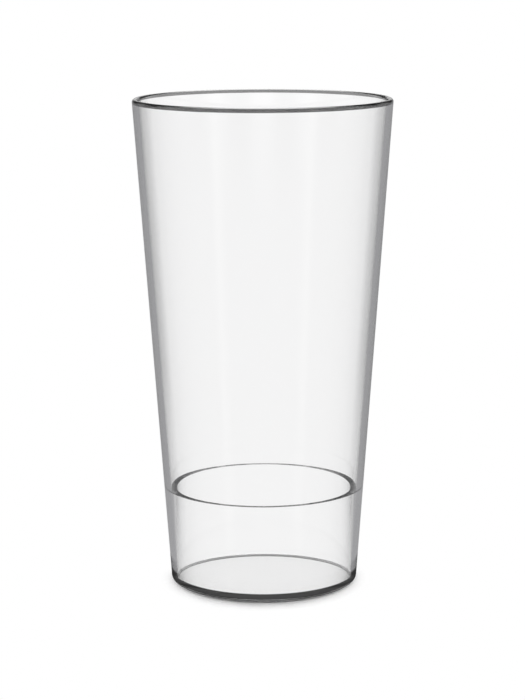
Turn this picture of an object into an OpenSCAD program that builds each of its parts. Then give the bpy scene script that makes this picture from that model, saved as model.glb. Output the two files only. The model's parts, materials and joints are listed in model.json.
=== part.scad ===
// Stackable clear tumbler with a straight pilsner taper, in millimetres.
// One moulding: it stands on Z = 0 and its axis is the Z axis.

/* [Outline] */
// Overall height
height = 160.5; // [140:0.5:180]
// Outside diameter where the line of the wall meets the top plane
rim_d = 85; // [80:0.5:92]
// Outside diameter where the line of the wall meets the table
foot_d = 61.8; // [56:0.2:66]

/* [Wall] */
// Thickness of the tapered wall, square to its face
wall = 2.1; // [1.6:0.1:2.6]
// Width of the flat left on top of the lip, between its two roundings
lip_flat = 0.1; // [0.05:0.05:0.5]

/* [Stacking ledge] */
// Gap all round between the foot of a stacked glass and the wall above the ledge
stack_clearance = 0.2; // [0.1:0.05:0.4]
// Width of the ledge, from the wall above it to its inner edge
ledge_w = 2.1; // [1.6:0.1:2.6]
// Fillet where the wall comes down to the ledge
ledge_fillet_r = 0.4; // [0.1:0.05:0.6]
// Rounding of the ledge's inner edge
ledge_edge_r = 0.2; // [0.1:0.05:0.5]

/* [Base] */
// Thickness of the floor over the foot ring
floor_t = 2.3; // [1.8:0.1:4]
// Draft of the straight chamber between floor and ledge, in degrees
chamber_draft = 0.2; // [0.1:0.1:1]
// Fillet between the floor and the chamber
floor_fillet_r = 0.3; // [0.2:0.1:1.5]
// Rounding of the foot's outer corner
foot_corner_r = 1.4; // [0.8:0.1:1.8]
// Width of the flat ring that the glass stands on
foot_ring_w = 1.3; // [0.8:0.1:3]
// How far the flat underside is raised within the foot ring
recess_depth = 0.4; // [0.2:0.1:0.8]

/* [Hidden] */
$fn = 180;
// How far a rounding arc bites into the faces that it joins, so that they cross in a clean edge
arc_bite = 0.001;
// How far a corner sliver reaches past those faces, measured from the arc's centre
past_share = 1.2;
clear_plastic = [0.92, 0.95, 0.96, 0.4];

rim_r = rim_d / 2;
foot_r = foot_d / 2;
taper = atan((rim_r - foot_r) / height);
level_wall = wall / cos(taper);

// Radius of the outside, and of the tapered inside, at a height
function outside_r(z) = foot_r + z * tan(taper);
function inside_r(z) = outside_r(z) - level_wall;

// The ledge lies where the tapered inside is one clearance wider than the foot of the next glass
ledge_z = (level_wall + stack_clearance) / tan(taper);
ledge_outer_r = inside_r(ledge_z);
ledge_inner_r = ledge_outer_r - ledge_w;

// Radius of the chamber below the ledge at a height
function chamber_r(z) = ledge_inner_r - (ledge_z - z) * tan(chamber_draft);

// Two roundings of one radius share the lip, on either side of its flat
lip_r = (wall - lip_flat * cos(taper)) / 2;

// The foot ring runs inward from where the rounding of the foot corner ends
foot_flat_r = foot_r - foot_corner_r / tan((90 + taper) / 2);
recess_r = foot_flat_r - foot_ring_w;

// Corners of the half section, each as [radius, height]
base_centre = [0, recess_depth];
recess_edge = [recess_r, recess_depth];
ring_edge = [recess_r, 0];
foot_corner = [foot_r, 0];
lip_outer = [rim_r, height];
lip_inner = [inside_r(height), height];
ledge_back = [ledge_outer_r, ledge_z];
ledge_front = [ledge_inner_r, ledge_z];
floor_corner = [chamber_r(floor_t), floor_t];
floor_centre = [0, floor_t];

function unit(v) = v / norm(v);

// The sliver between a corner and the arc that rounds it, to cut off an edge or to fill an inner corner
module corner_sliver(corner, next_a, next_b, radius) {
    to_a = unit(next_a - corner);
    to_b = unit(next_b - corner);
    half_angle = acos(to_a * to_b) / 2;
    depth = radius - arc_bite;
    centre = corner + unit(to_a + to_b) * depth / sin(half_angle);
    reach = depth / tan(half_angle);
    kite = [corner, corner + reach * to_a, centre, corner + reach * to_b];
    difference() {
        polygon([for (point = kite) centre + past_share * (point - centre)]);
        translate(centre) circle(r = radius);
    }
}

module half_section() {
    difference() {
        union() {
            polygon([
                base_centre, recess_edge, ring_edge, foot_corner, lip_outer, lip_inner,
                ledge_back, ledge_front, floor_corner, floor_centre
            ]);
            corner_sliver(ledge_back, lip_inner, ledge_front, ledge_fillet_r);
            corner_sliver(floor_corner, ledge_front, floor_centre, floor_fillet_r);
        }
        corner_sliver(lip_outer, foot_corner, lip_inner, lip_r);
        corner_sliver(lip_inner, lip_outer, ledge_back, lip_r);
        corner_sliver(ledge_front, ledge_back, floor_corner, ledge_edge_r);
        corner_sliver(foot_corner, ring_edge, lip_outer, foot_corner_r);
    }
}

module glass_body() {
    color(clear_plastic) rotate_extrude() half_section();
}

glass_body();
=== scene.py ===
"""Stackable pilsner glass in clear plastic, on a plain white studio floor, laid out as a Blender add-on."""

import json
import math

import bmesh
import bpy
from mathutils import Euler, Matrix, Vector


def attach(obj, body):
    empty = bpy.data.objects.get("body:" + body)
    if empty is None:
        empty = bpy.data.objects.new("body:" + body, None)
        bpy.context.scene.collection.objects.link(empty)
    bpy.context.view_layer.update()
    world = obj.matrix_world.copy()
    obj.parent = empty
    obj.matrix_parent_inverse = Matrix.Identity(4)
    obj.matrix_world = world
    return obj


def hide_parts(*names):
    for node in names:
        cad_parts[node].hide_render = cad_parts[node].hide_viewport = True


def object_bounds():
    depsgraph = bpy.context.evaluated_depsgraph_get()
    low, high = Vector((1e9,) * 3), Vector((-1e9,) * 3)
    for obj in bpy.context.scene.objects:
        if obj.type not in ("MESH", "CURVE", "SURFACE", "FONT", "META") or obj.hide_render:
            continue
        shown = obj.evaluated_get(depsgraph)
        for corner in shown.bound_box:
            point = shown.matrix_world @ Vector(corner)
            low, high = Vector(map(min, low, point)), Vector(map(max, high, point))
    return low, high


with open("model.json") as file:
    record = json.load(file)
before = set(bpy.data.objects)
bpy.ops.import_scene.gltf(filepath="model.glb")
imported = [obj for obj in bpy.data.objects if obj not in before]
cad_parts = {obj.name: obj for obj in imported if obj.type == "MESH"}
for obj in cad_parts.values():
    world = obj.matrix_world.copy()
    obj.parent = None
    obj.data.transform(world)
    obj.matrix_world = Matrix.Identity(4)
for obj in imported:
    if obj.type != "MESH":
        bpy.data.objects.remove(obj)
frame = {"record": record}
cad_low, cad_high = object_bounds()

bl_info = {
    "name": "Stackable pilsner glass",
    "version": (1, 0, 0),
    "blender": (4, 5, 0),
    "location": "View3D > Sidebar > Glass",
    "description": "Builds a clear plastic pilsner glass with a stacking ledge, and a white studio around it",
    "category": "Add Mesh",
}

BODY_NODE = "glass_body"
BODY_PIECE = "clear_glass_body"
FLOOR = "studio_floor"
CAMERA = "studio_camera"

MM = 0.001
# Long side of the camera's sensor, in millimetres
SENSOR = 36
# Light crosses and mirrors in the thick wall many times before it leaves
CROSSINGS = 40
MIRRORINGS = 20
# Octaves of the waves in the plastic, and the part of their range over which the polish changes
FLOW_DETAIL = 2.0
FLOW_SMOOTH, FLOW_ROUGH = 0.4, 0.7
# Strength of the light from behind, under which the shadow falls forward
BACK_LIGHT = 2

mounts = {mount["name"]: mount for mount in frame["record"]["mounts"]}


def length(name, description, default):
    """A length in metres."""
    return bpy.props.FloatProperty(
        name=name, description=description, default=default, min=0, unit="LENGTH", subtype="DISTANCE", precision=5
    )


def angle(name, description, degrees):
    """An angle, given in degrees."""
    return bpy.props.FloatProperty(
        name=name, description=description, default=math.radians(degrees), subtype="ANGLE"
    )


def number(name, description, default, **settings):
    """A plain number, such as a sine or a share."""
    return bpy.props.FloatProperty(name=name, description=description, default=default, **settings)


def count(name, description, default, least):
    """A whole number."""
    return bpy.props.IntProperty(name=name, description=description, default=default, min=least)


def tone(name, description, *values):
    """A colour, from one grey or from red, green and blue."""
    colour = values if len(values) == 3 else values * 3
    return bpy.props.FloatVectorProperty(
        name=name, description=description, default=colour, subtype="COLOR", min=0, max=1
    )


class GlassSizes(bpy.types.PropertyGroup):
    """Sizes of the glass's half section, which is turned about the Z axis"""

    height: length("Height", "Overall height", cad_high.z - cad_low.z)
    rim_diameter: length("Rim diameter", "Where the line of the outside meets the top plane", 84.99 * MM)
    foot_diameter: length("Foot diameter", "Where the line of the outside meets the table", 61.8 * MM)
    wall: length("Wall", "Thickness of the tapered wall, square to its face", 2.1 * MM)
    lip_flat: length("Lip flat", "Flat left on top of the lip between its two roundings", 0.1 * MM)
    ledge_height: length("Ledge height", "Height of the stacking ledge", mounts["stacking_ledge"]["pos_m"][2])
    ledge_width: length("Ledge width", "From the wall above the ledge to its inner edge", 2.1 * MM)
    ledge_fillet: length("Ledge fillet", "Where the wall comes down to the ledge", 0.4 * MM)
    ledge_rounding: length("Ledge rounding", "Rounding of the ledge's inner edge", 0.2 * MM)
    floor: length("Floor", "Height of the floor inside the glass", 2.3 * MM)
    chamber_draft: angle("Chamber draft", "Draft of the chamber below the ledge", 0.2)
    floor_fillet: length("Floor fillet", "Between the floor and the chamber", 0.3 * MM)
    foot_rounding: length("Foot rounding", "Rounding of the foot's outer corner", 1.4 * MM)
    foot_ring: length("Foot ring", "Width of the flat ring that the glass stands on", 1.3 * MM)
    recess_depth: length("Recess depth", "How far the underside is raised within the foot ring", 0.4 * MM)
    turns: count("Segments", "Segments around the glass", 384, 16)
    arc_steps: count("Arc steps", "Segments along each rounding of the section", 12, 2)


class PlasticFinish(bpy.types.PropertyGroup):
    """Clear plastic of the glass, with painted shade in the roundings of lip and foot"""

    tint: tone("Tint", "Colour of the light that the wall lets through", 1.0)
    # Painted shade: dark colours in the lip's outer and inner roundings and in the foot's rounding, which stand in for
    # the darkness that refraction gives there
    outer_lip_painted_shade: tone("Outer lip tint", "Colour of light that enters the outer rounding of the lip", 0.027)
    outer_lip_start: length("Outer lip start", "How far down from the top that tint starts", 0.15 * MM)
    outer_lip_end: length("Outer lip end", "How far down from the top that tint ends", 1.47 * MM)
    inner_lip_painted_shade: tone("Inner lip tint", "Colour of light that enters the inner rounding of the lip", 0.085)
    inner_lip_start: length("Inner lip start", "How far down from the top that tint starts", 0.1 * MM)
    inner_lip_end: length("Inner lip end", "How far down from the top that tint ends", 1.2 * MM)
    foot_painted_shade: tone("Foot tint", "Colour of light that enters the rounding of the foot", 0.2)
    foot_painted_shade_height: length("Foot tint height", "How far up the foot's rounding that tint reaches", 1.15 * MM)
    painted_shade_fade: length("Tint fade", "Height over which these tints fade out", 0.08 * MM)
    ior: number("Index of refraction", "How strongly the plastic bends light", 1.49, min=1)
    polish: number("Polish", "Roughness where the mould left the plastic least smooth", 0.02, min=0, max=1)
    flow_size: length("Flow size", "Width of the faint waves that the flow of the plastic leaves", 14 * MM)
    flow_height: length("Flow height", "Height of those waves", 0.004 * MM)


class StudioSettings(bpy.types.PropertyGroup):
    """White set around the glass, and the camera"""

    white: tone("White", "Colour of the floor and the backdrop", 1.0)
    surroundings: tone("Surroundings", "Tone of the studio that the glass mirrors", 0.38, 0.38, 0.39)
    corners: tone("Corners", "Tone of the studio's lighter corners, which the thick wall mirrors", 0.6)
    corner_start: number("Corner start", "How far off the axes a corner starts, as a sine", 0.61)
    corner_end: number("Corner end", "How far off the axes a corner is at its lightest, as a sine", 0.69)
    dark: tone("Dark", "Tone of light that the glass mirrors more than once", 0.065)
    gaps: tone("Gaps", "Tone between the white cards around the set, seen through the glass", 0.7)
    cards: count("Cards", "White cards in the ring around the set", 8, 1)
    card_edge: number(
        "Card edge", "Where a card turns from white to its soft edge, as a cosine: 1 is its middle", 0.6, min=-1, max=1
    )
    backdrop: tone("Backdrop", "Tone of those cards where the floor of the glass mirrors them", 0.84)
    card_low: number("Card low", "How far above level the glass mirrors the cards in full, as a sine", 0.1)
    strip: tone("Strip", "Tone of a dark strip in the backdrop, which the ledge mirrors", 0.05)
    strip_low: number("Strip low", "How far above level the strip starts, as a sine", 0.2345)
    strip_high: number("Strip high", "How far above level the strip ends, as a sine", 0.262)
    strip_fade: number("Strip fade", "How far the strip's edges fade, as a sine", 0.003)
    ceiling_low: number("Ceiling low", "How far above level the studio starts to turn dark, as a sine", 0.35)
    ceiling_high: number("Ceiling high", "How far above level the studio is dark, as a sine", 0.45)
    back_light_fade: number("Back light fade", "How far round the light from behind fades out, as a sine", 0.25)
    floor_reach: length("Floor reach", "Half the width of the floor", 3)
    floor_gap: length("Floor gap", "Air between the floor and the foot", 0.02 * MM)
    shadow_narrowing: number(
        "Shadow narrowing", "How much narrower the shadow is beside the glass than before it", 1.17
    )
    shadow_inside: length("Shadow inside", "From the axis to where the floor under the glass is white", 28.4 * MM)
    shadow_blend: length("Shadow blend", "How far on from there the shadow is at its full strength", 0.5 * MM)
    shadow_start: length("Shadow start", "From the axis to where the floor's shadow starts to fade", 31.5 * MM)
    shadow_end: length("Shadow end", "From the axis to where the floor is plain white again", 41 * MM)
    # Painted shade: where the glass mirrors the floor, the floor shows a grey glow under the foot and a dark glow
    # close around it, which stand in for the shade there
    painted_under_foot_shade: tone("Under foot", "Tone of the floor under the foot, which the thick wall mirrors", 0.5)
    painted_contact_shade: tone("Contact", "Tone of the floor close around the foot, which the foot mirrors", 0.03)
    contact_start: length("Contact start", "From the axis to where that dark floor starts to fade", 42 * MM)
    contact_end: length("Contact end", "From the axis to where the foot no longer mirrors the floor", 48 * MM)
    near_floor: length("Near floor", "From the axis to where the floor still shows white through the glass", 150 * MM)
    far_floor: length("Far floor", "From the axis to where it no longer shows through the glass", 400 * MM)
    camera_aside: number("Camera aside", "How far the camera stands beside the glass", -0.3 * MM, unit="LENGTH")
    camera_distance: length("Camera distance", "From the axis of the glass to the camera, level", 752.78 * MM)
    camera_height: length("Camera height", "Height of the camera over the floor", 216.87 * MM)
    camera_pitch: angle("Camera pitch", "How far the camera looks down", 10.4966)
    camera_roll: angle("Camera roll", "How far the camera leans over", -0.175)
    lens: number("Lens", "Focal length for the sensor's long side", 118.99, subtype="DISTANCE_CAMERA")


def rounded_corner(before, corner, after, radius, steps):
    """Points of the arc that rounds a corner between two straight lines of the section."""
    to_before = (before - corner).normalized()
    to_after = (after - corner).normalized()
    half_angle = to_before.angle(to_after) / 2
    centre = corner + (to_before + to_after).normalized() * radius / math.sin(half_angle)
    reach = radius / math.tan(half_angle)
    start = corner + to_before * reach - centre
    end = corner + to_after * reach - centre
    return [centre + radius * start.slerp(end, step / steps) for step in range(steps + 1)]


def half_section(sizes):
    """The half section as rows of points (radius, height) that meet in sharp edges.

    It runs from the centre of the underside to the centre of the floor."""
    rim_r = sizes.rim_diameter / 2
    foot_r = sizes.foot_diameter / 2
    slope = (rim_r - foot_r) / sizes.height
    taper = math.atan(slope)
    lip_rounding = (sizes.wall - sizes.lip_flat * math.cos(taper)) / 2
    foot_flat_r = foot_r - sizes.foot_rounding / math.tan((math.pi / 2 + taper) / 2)
    recess_r = foot_flat_r - sizes.foot_ring
    ledge_top = sizes.ledge_height

    def inside(height):
        return Vector((foot_r + height * slope - sizes.wall / math.cos(taper), height))

    ledge_r = inside(ledge_top).x - sizes.ledge_width
    chamber_r = ledge_r - (ledge_top - sizes.floor) * math.tan(sizes.chamber_draft)
    recess_edge = Vector((recess_r, sizes.recess_depth))
    ring_edge = Vector((recess_r, 0))
    floor_centre = Vector((0, sizes.floor))
    corners = [
        (Vector((foot_r, 0)), sizes.foot_rounding),
        (Vector((rim_r, sizes.height)), lip_rounding),
        (inside(sizes.height), lip_rounding),
        (inside(ledge_top), sizes.ledge_fillet),
        (Vector((ledge_r, ledge_top)), sizes.ledge_rounding),
        (Vector((chamber_r, sizes.floor)), sizes.floor_fillet),
    ]
    stations = [ring_edge] + [corner for corner, _ in corners] + [floor_centre]
    turned = [ring_edge]
    for place, (corner, radius) in enumerate(corners):
        turned += rounded_corner(stations[place], corner, stations[place + 2], radius, sizes.arc_steps)
    recess_centre = Vector((0, sizes.recess_depth))
    return [[recess_centre, recess_edge], [recess_edge, ring_edge], turned + [floor_centre]]


def turned_mesh(name, rows, turns):
    """A closed mesh turned about Z from the rows of a half section whose two ends lie on the axis."""
    points = rows[0] + [point for row in rows[1:] for point in row[1:]]
    sharp_points = [row[-1] for row in rows[:-1]]
    mesh = bpy.data.meshes.new(name)
    work = bmesh.new()
    rings = []
    for radius, height in points:
        angles = [2 * math.pi * step / turns for step in range(turns if radius > 0 else 1)]
        rings.append([work.verts.new((radius * math.cos(a), radius * math.sin(a), height)) for a in angles])
    for lower, upper in zip(rings, rings[1:]):
        for step in range(turns):
            after = (step + 1) % turns
            if len(lower) == 1:
                corners = [lower[0], upper[after], upper[step]]
            elif len(upper) == 1:
                corners = [lower[step], lower[after], upper[0]]
            else:
                corners = [lower[step], lower[after], upper[after], upper[step]]
            face = work.faces.new(corners)
            face.smooth = True
    for point in sharp_points:
        ring = rings[points.index(point)]
        for step in range(turns):
            work.edges.get((ring[step - 1], ring[step])).smooth = False
    work.to_mesh(mesh)
    work.free()
    return mesh


def opaque(colour):
    """A colour with full alpha, as a node's socket takes it."""
    return (*colour, 1)


class Nodes:
    """Short ways to add nodes to one shader tree."""

    def __init__(self, tree):
        self.tree = tree

    def add(self, kind, **settings):
        node = self.tree.nodes.new(kind)
        for name, value in settings.items():
            setattr(node, name, value)
        return node

    def feed(self, socket, value):
        if isinstance(value, bpy.types.NodeSocket):
            self.tree.links.new(value, socket)
        else:
            socket.default_value = value

    def ramp(self, value, low, high, low_result=0, high_result=1):
        """A soft step of a value between two limits."""
        node = self.add("ShaderNodeMapRange", interpolation_type="SMOOTHSTEP")
        for socket, given in zip(node.inputs, (value, low, high, low_result, high_result)):
            self.feed(socket, given)
        return node.outputs[0]

    def band(self, value, low, high, fade):
        """1 between two limits and 0 outside them, with soft edges."""
        start = self.ramp(value, low, low + fade)
        end = self.ramp(value, high - fade, high, 1, 0)
        return self.math("MULTIPLY", start, end)

    def mix(self, share, first, second):
        """A blend of two colours."""
        node = self.add("ShaderNodeMix", data_type="RGBA")
        for place, given in ((0, share), (6, first), (7, second)):
            self.feed(node.inputs[place], given)
        return node.outputs[2]

    def axes(self, vector):
        """The X, Y and Z of a vector."""
        node = self.add("ShaderNodeSeparateXYZ")
        self.feed(node.inputs[0], vector)
        return node.outputs

    def math(self, operation, first, second=0):
        node = self.add("ShaderNodeMath", operation=operation)
        self.feed(node.inputs[0], first)
        self.feed(node.inputs[1], second)
        return node.outputs[0]

    def distance(self, vector):
        """The length of a vector."""
        node = self.add("ShaderNodeVectorMath", operation="LENGTH")
        self.feed(node.inputs[0], vector)
        return node.outputs["Value"]

    def scaled(self, vector, scale):
        """A vector with each axis scaled by itself."""
        node = self.add("ShaderNodeVectorMath", operation="MULTIPLY")
        self.feed(node.inputs[0], vector)
        self.feed(node.inputs[1], scale)
        return node.outputs[0]

    def glow(self, colour):
        """A surface that shines in a colour, where white is white in the picture."""
        node = self.add("ShaderNodeEmission")
        self.feed(node.inputs["Color"], colour)
        return node.outputs[0]

    def at_least(self, depth, times):
        """1 where a light path's depth is at least this many times, else 0."""
        return self.math("GREATER_THAN", depth, times - 0.5)

    def blend(self, share, first, second):
        """A blend of two shaders."""
        node = self.add("ShaderNodeMixShader")
        for socket, given in zip(node.inputs, (share, first, second)):
            self.feed(socket, given)
        return node.outputs[0]


def clear_plastic(finish, sizes):
    """Clear moulded plastic, with painted shade in the roundings of lip and foot, faint waves and a slightly uneven
    polish.
    """
    material = bpy.data.materials.new("clear_plastic")
    material.use_nodes = True
    tree = material.node_tree
    nodes = Nodes(tree)
    shader = tree.nodes["Principled BSDF"]
    place = nodes.add("ShaderNodeTexCoord").outputs["Object"]
    level = nodes.axes(place)["Z"]
    from_axis = nodes.distance(nodes.scaled(place, (1, 1, 0)))
    entering = nodes.math("SUBTRACT", 1, nodes.add("ShaderNodeNewGeometry").outputs["Backfacing"])

    # Painted shade: the base colour is darkened in bands over the lip's two roundings and the foot's rounding, where
    # light enters the plastic
    lip_middle = (sizes.rim_diameter - sizes.wall) / 2
    outer = nodes.math("GREATER_THAN", from_axis, lip_middle)
    inner = nodes.math("LESS_THAN", from_axis, lip_middle)
    edge = nodes.math("GREATER_THAN", from_axis, sizes.foot_diameter / 2 - sizes.foot_rounding)
    tint_with_painted_shade = opaque(finish.tint)
    # Each row gives the side, the heights and the dark colour of one band of painted shade
    for side, low, high, tint in (
        (outer, sizes.height - finish.outer_lip_end, sizes.height - finish.outer_lip_start, finish.outer_lip_painted_shade),
        (inner, sizes.height - finish.inner_lip_end, sizes.height - finish.inner_lip_start, finish.inner_lip_painted_shade),
        (edge, -finish.painted_shade_fade, finish.foot_painted_shade_height, finish.foot_painted_shade),
    ):
        rounding = nodes.math("MULTIPLY", side, nodes.band(level, low, high, finish.painted_shade_fade))
        tint_with_painted_shade = nodes.mix(nodes.math("MULTIPLY", rounding, entering), tint_with_painted_shade, opaque(tint))
    nodes.feed(shader.inputs["Base Color"], tint_with_painted_shade)

    flow = nodes.add("ShaderNodeTexNoise")
    nodes.feed(flow.inputs["Vector"], place)
    nodes.feed(flow.inputs["Scale"], 1 / finish.flow_size)
    nodes.feed(flow.inputs["Detail"], FLOW_DETAIL)
    roughness = nodes.ramp(flow.outputs[0], FLOW_SMOOTH, FLOW_ROUGH, 0, finish.polish)
    nodes.feed(shader.inputs["Roughness"], roughness)
    bump = nodes.add("ShaderNodeBump")
    nodes.feed(bump.inputs["Height"], flow.outputs[0])
    nodes.feed(bump.inputs["Distance"], finish.flow_height)
    nodes.feed(shader.inputs["Normal"], bump.outputs[0])
    shader.inputs["IOR"].default_value = finish.ior
    shader.inputs["Transmission Weight"].default_value = 1.0
    return material


def floor_material(studio, sizes):
    """White floor with a shadow around the foot, and with painted shade where the glass mirrors it: a grey glow under
    the foot and a dark glow around it.
    """
    material = bpy.data.materials.new("white_floor")
    material.use_nodes = True
    tree = material.node_tree
    tree.nodes.clear()
    nodes = Nodes(tree)
    path = nodes.add("ShaderNodeLightPath").outputs
    place = nodes.add("ShaderNodeNewGeometry").outputs["Position"]
    distance = nodes.distance(place)
    clear = nodes.add("ShaderNodeBsdfTransparent").outputs[0]

    shaded = nodes.add("ShaderNodeBsdfDiffuse")
    nodes.feed(shaded.inputs["Color"], opaque(studio.white))
    near = nodes.ramp(distance, studio.near_floor, studio.far_floor, 1, 0)
    shows = nodes.math("MAXIMUM", path["Is Camera Ray"], near)
    plain = nodes.blend(shows, clear, nodes.glow(opaque(studio.white)))
    narrowed = nodes.distance(nodes.scaled(place, (studio.shadow_narrowing, 1, 1)))
    past_shadow = nodes.ramp(narrowed, studio.shadow_start, studio.shadow_end)
    inside = nodes.ramp(distance, studio.shadow_inside, studio.shadow_inside + studio.shadow_blend, 1, 0)
    floor = nodes.blend(nodes.math("MAXIMUM", inside, past_shadow), shaded.outputs[0], plain)

    # Painted shade that only the glass's mirrorings see: a grey glow under the foot that turns dark around it, then
    # clear further out
    foot_radius = sizes.foot_diameter / 2
    past_foot = nodes.ramp(distance, foot_radius - sizes.foot_rounding, foot_radius)
    painted_contact_shade = nodes.glow(nodes.mix(past_foot, opaque(studio.painted_under_foot_shade), opaque(studio.painted_contact_shade)))
    past_contact = nodes.ramp(distance, studio.contact_start, studio.contact_end)
    painted_reflection = nodes.blend(past_contact, painted_contact_shade, clear)

    surface = nodes.blend(nodes.at_least(path["Glossy Depth"], 1), floor, painted_reflection)
    nodes.feed(nodes.add("ShaderNodeOutputMaterial").inputs["Surface"], surface)
    return material


class GLASS_OT_body(bpy.types.Operator):
    """Builds the glass body as one turned moulding and gives it its clear plastic"""

    bl_idname = "glass.body"
    bl_label = "Glass body"

    def execute(self, context):
        sizes = context.scene.glass_sizes
        mesh = turned_mesh(BODY_PIECE, half_section(sizes), sizes.turns)
        mesh.materials.append(clear_plastic(context.scene.glass_finish, sizes))
        body = bpy.data.objects.new(BODY_PIECE, mesh)
        context.scene.collection.objects.link(body)
        normals = body.modifiers.new("Weighted normals", "WEIGHTED_NORMAL")
        normals.keep_sharp = True
        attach(body, "root")
        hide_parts(BODY_NODE)
        return {"FINISHED"}


class GLASS_OT_stage(bpy.types.Operator):
    """Lays the white floor, lights the studio and places the camera"""

    bl_idname = "glass.stage"
    bl_label = "Studio"

    def execute(self, context):
        scene = context.scene
        studio = scene.glass_studio
        self.lay_floor(scene, studio)
        self.light(scene, studio)
        self.place_camera(scene, studio)
        scene.view_settings.view_transform = "Standard"
        return {"FINISHED"}

    def lay_floor(self, scene, studio):
        reach = studio.floor_reach
        level = -studio.floor_gap
        corners = [(-reach, -reach, level), (reach, -reach, level), (reach, reach, level), (-reach, reach, level)]
        mesh = bpy.data.meshes.new(FLOOR)
        mesh.from_pydata(corners, [], [(0, 1, 2, 3)])
        mesh.materials.append(floor_material(studio, scene.glass_sizes))
        floor = bpy.data.objects.new(FLOOR, mesh)
        scene.collection.objects.link(floor)

    def light(self, scene, studio):
        """A world that is white behind the glass and lights the floor from behind.

        Through the glass it shows soft white cards with greyer gaps. What the glass mirrors is greyer still,
        and what it mirrors more than once is dark."""
        world = bpy.data.worlds.new("white_studio")
        world.use_nodes = True
        world.cycles.sampling_method = "NONE"
        tree = world.node_tree
        nodes = Nodes(tree)
        white = opaque(studio.white)
        dark = opaque(studio.dark)
        path = nodes.add("ShaderNodeLightPath").outputs
        direction = nodes.axes(nodes.add("ShaderNodeTexCoord").outputs["Generated"])
        once = nodes.at_least(path["Glossy Depth"], 1)
        twice = nodes.at_least(path["Glossy Depth"], 2)

        heading = nodes.math("ARCTAN2", direction["X"], direction["Y"])
        turn = nodes.math("COSINE", nodes.math("MULTIPLY", heading, studio.cards))
        through = nodes.mix(nodes.ramp(turn, -1, studio.card_edge), opaque(studio.gaps), white)

        off_axis = nodes.math("MINIMUM", *(nodes.math("ABSOLUTE", direction[axis]) for axis in "XY"))
        corner = nodes.ramp(off_axis, studio.corner_start, studio.corner_end)
        around = nodes.mix(corner, opaque(studio.surroundings), opaque(studio.corners))
        cards = nodes.mix(nodes.ramp(turn, -1, 1), dark, opaque(studio.backdrop))
        backdrop = nodes.mix(nodes.ramp(direction["Z"], 0, studio.card_low), around, cards)
        strip = nodes.band(direction["Z"], studio.strip_low, studio.strip_high, studio.strip_fade)
        mirrored = nodes.mix(strip, backdrop, opaque(studio.strip))

        overhead = nodes.ramp(direction["Z"], studio.ceiling_low, studio.ceiling_high)
        seen_once = nodes.mix(overhead, nodes.mix(once, through, mirrored), dark)
        seen = nodes.mix(twice, seen_once, dark)
        fade = studio.back_light_fade
        from_behind = nodes.ramp(direction["Y"], -fade, fade, 0, BACK_LIGHT)
        lighting = nodes.mix(twice, nodes.mix(once, from_behind, white), dark)
        shown = nodes.mix(nodes.at_least(path["Diffuse Depth"], 1), seen, lighting)
        nodes.feed(tree.nodes["Background"].inputs["Color"], nodes.mix(path["Is Camera Ray"], shown, white))
        scene.world = world
        scene.cycles.blur_glossy = 0
        scene.cycles.max_bounces = CROSSINGS
        scene.cycles.transmission_bounces = CROSSINGS
        scene.cycles.glossy_bounces = MIRRORINGS

    def place_camera(self, scene, studio):
        data = bpy.data.cameras.new(CAMERA)
        data.lens = studio.lens
        data.sensor_width = SENSOR
        camera = bpy.data.objects.new(CAMERA, data)
        camera.location = (studio.camera_aside, -studio.camera_distance, studio.camera_height)
        look = Euler((math.pi / 2 - studio.camera_pitch, 0, 0)).to_matrix()
        camera.rotation_euler = (look @ Euler((0, 0, studio.camera_roll)).to_matrix()).to_euler()
        scene.collection.objects.link(camera)
        scene.camera = camera


class GLASS_PT_panel(bpy.types.Panel):
    """Lists the builders of the glass and its studio"""

    bl_idname = "GLASS_PT_panel"
    bl_label = "Pilsner glass"
    bl_space_type = "VIEW_3D"
    bl_region_type = "UI"
    bl_category = "Glass"

    def draw(self, context):
        for group in (context.scene.glass_sizes, context.scene.glass_finish, context.scene.glass_studio):
            box = self.layout.box()
            for name in group.bl_rna.properties.keys():
                if name not in {"rna_type", "name"}:
                    box.prop(group, name)
        self.layout.operator(GLASS_OT_body.bl_idname)
        self.layout.operator(GLASS_OT_stage.bl_idname)


CLASSES = (GlassSizes, PlasticFinish, StudioSettings, GLASS_OT_body, GLASS_OT_stage, GLASS_PT_panel)


def register():
    for cls in CLASSES:
        bpy.utils.register_class(cls)
    bpy.types.Scene.glass_sizes = bpy.props.PointerProperty(type=GlassSizes)
    bpy.types.Scene.glass_finish = bpy.props.PointerProperty(type=PlasticFinish)
    bpy.types.Scene.glass_studio = bpy.props.PointerProperty(type=StudioSettings)


def unregister():
    del bpy.types.Scene.glass_studio
    del bpy.types.Scene.glass_finish
    del bpy.types.Scene.glass_sizes
    for cls in reversed(CLASSES):
        bpy.utils.unregister_class(cls)


def main():
    register()
    bpy.ops.glass.stage()
    bpy.ops.glass.body()


if __name__ == "__main__":
    main()
